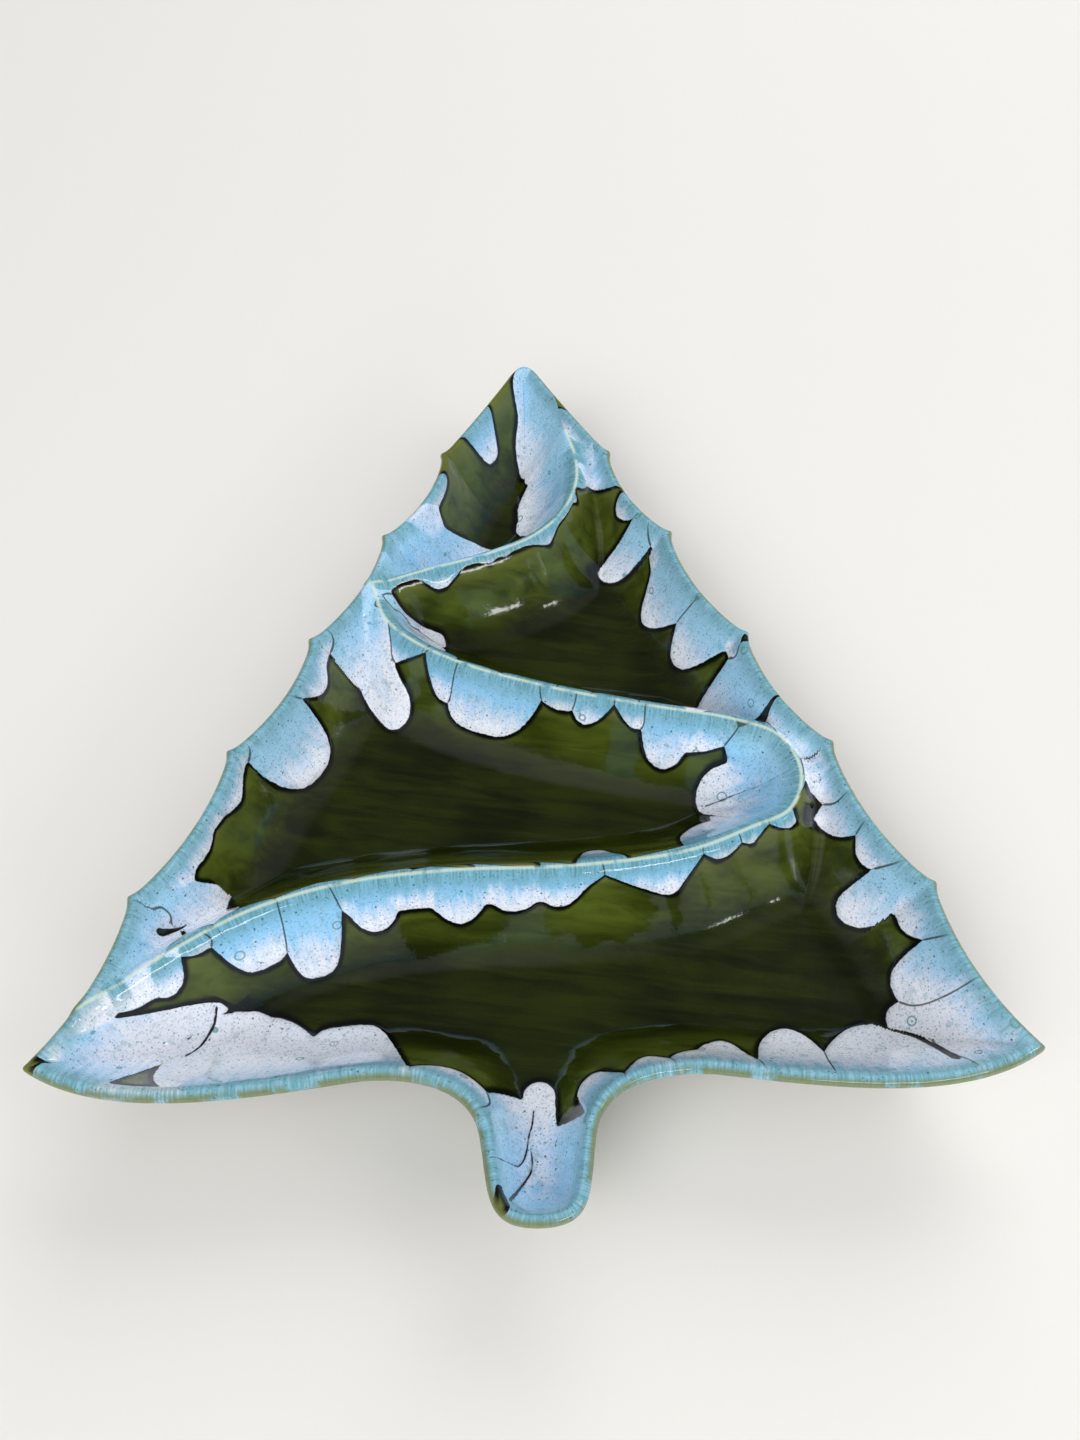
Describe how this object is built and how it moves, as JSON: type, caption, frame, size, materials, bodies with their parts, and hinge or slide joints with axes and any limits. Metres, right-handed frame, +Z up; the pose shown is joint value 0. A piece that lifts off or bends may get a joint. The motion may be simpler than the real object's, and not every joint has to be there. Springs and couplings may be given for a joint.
{
  "type": "divided serving tray",
  "caption": "Fir-tree shaped ceramic serving tray, deep green glaze with pale blue drips, parted into wells by one winding raised divider",
  "frame": {"origin": "middle of the bounding box, on the table", "axes": "+Y towards the tip of the tree, trunk towards -Y, +Z up out of the wells"},
  "size_m": [0.3208, 0.3798, 0.042],
  "materials": {
    "pool_glaze": "deep green glossy glaze, nearly black where it pools",
    "drip_glaze": "pale blue and lavender white glaze run down in drips over green, glossy",
    "bare_clay": "unglazed buff earthenware, matt"
  },
  "bodies": {
    "root": {"tip_floor": "pool_glaze", "upper_floor": "pool_glaze", "middle_floor": "pool_glaze", "lower_floor": "pool_glaze", "upper_divider": "drip_glaze", "middle_divider": "drip_glaze", "right_bend": "drip_glaze", "lower_divider": "drip_glaze", "right_tip_wall": "drip_glaze", "right_upper_wall": "drip_glaze", "right_lower_wall": "drip_glaze", "left_tip_wall": "drip_glaze", "left_middle_wall": "drip_glaze", "left_lower_wall": "drip_glaze", "front_right_wall": "drip_glaze", "front_left_wall": "drip_glaze", "trunk_channel": "drip_glaze", "tip_foot": "bare_clay", "upper_foot": "bare_clay", "middle_foot": "bare_clay", "lower_right_foot": "bare_clay", "lower_left_foot": "bare_clay"}
  },
  "joints": []
}
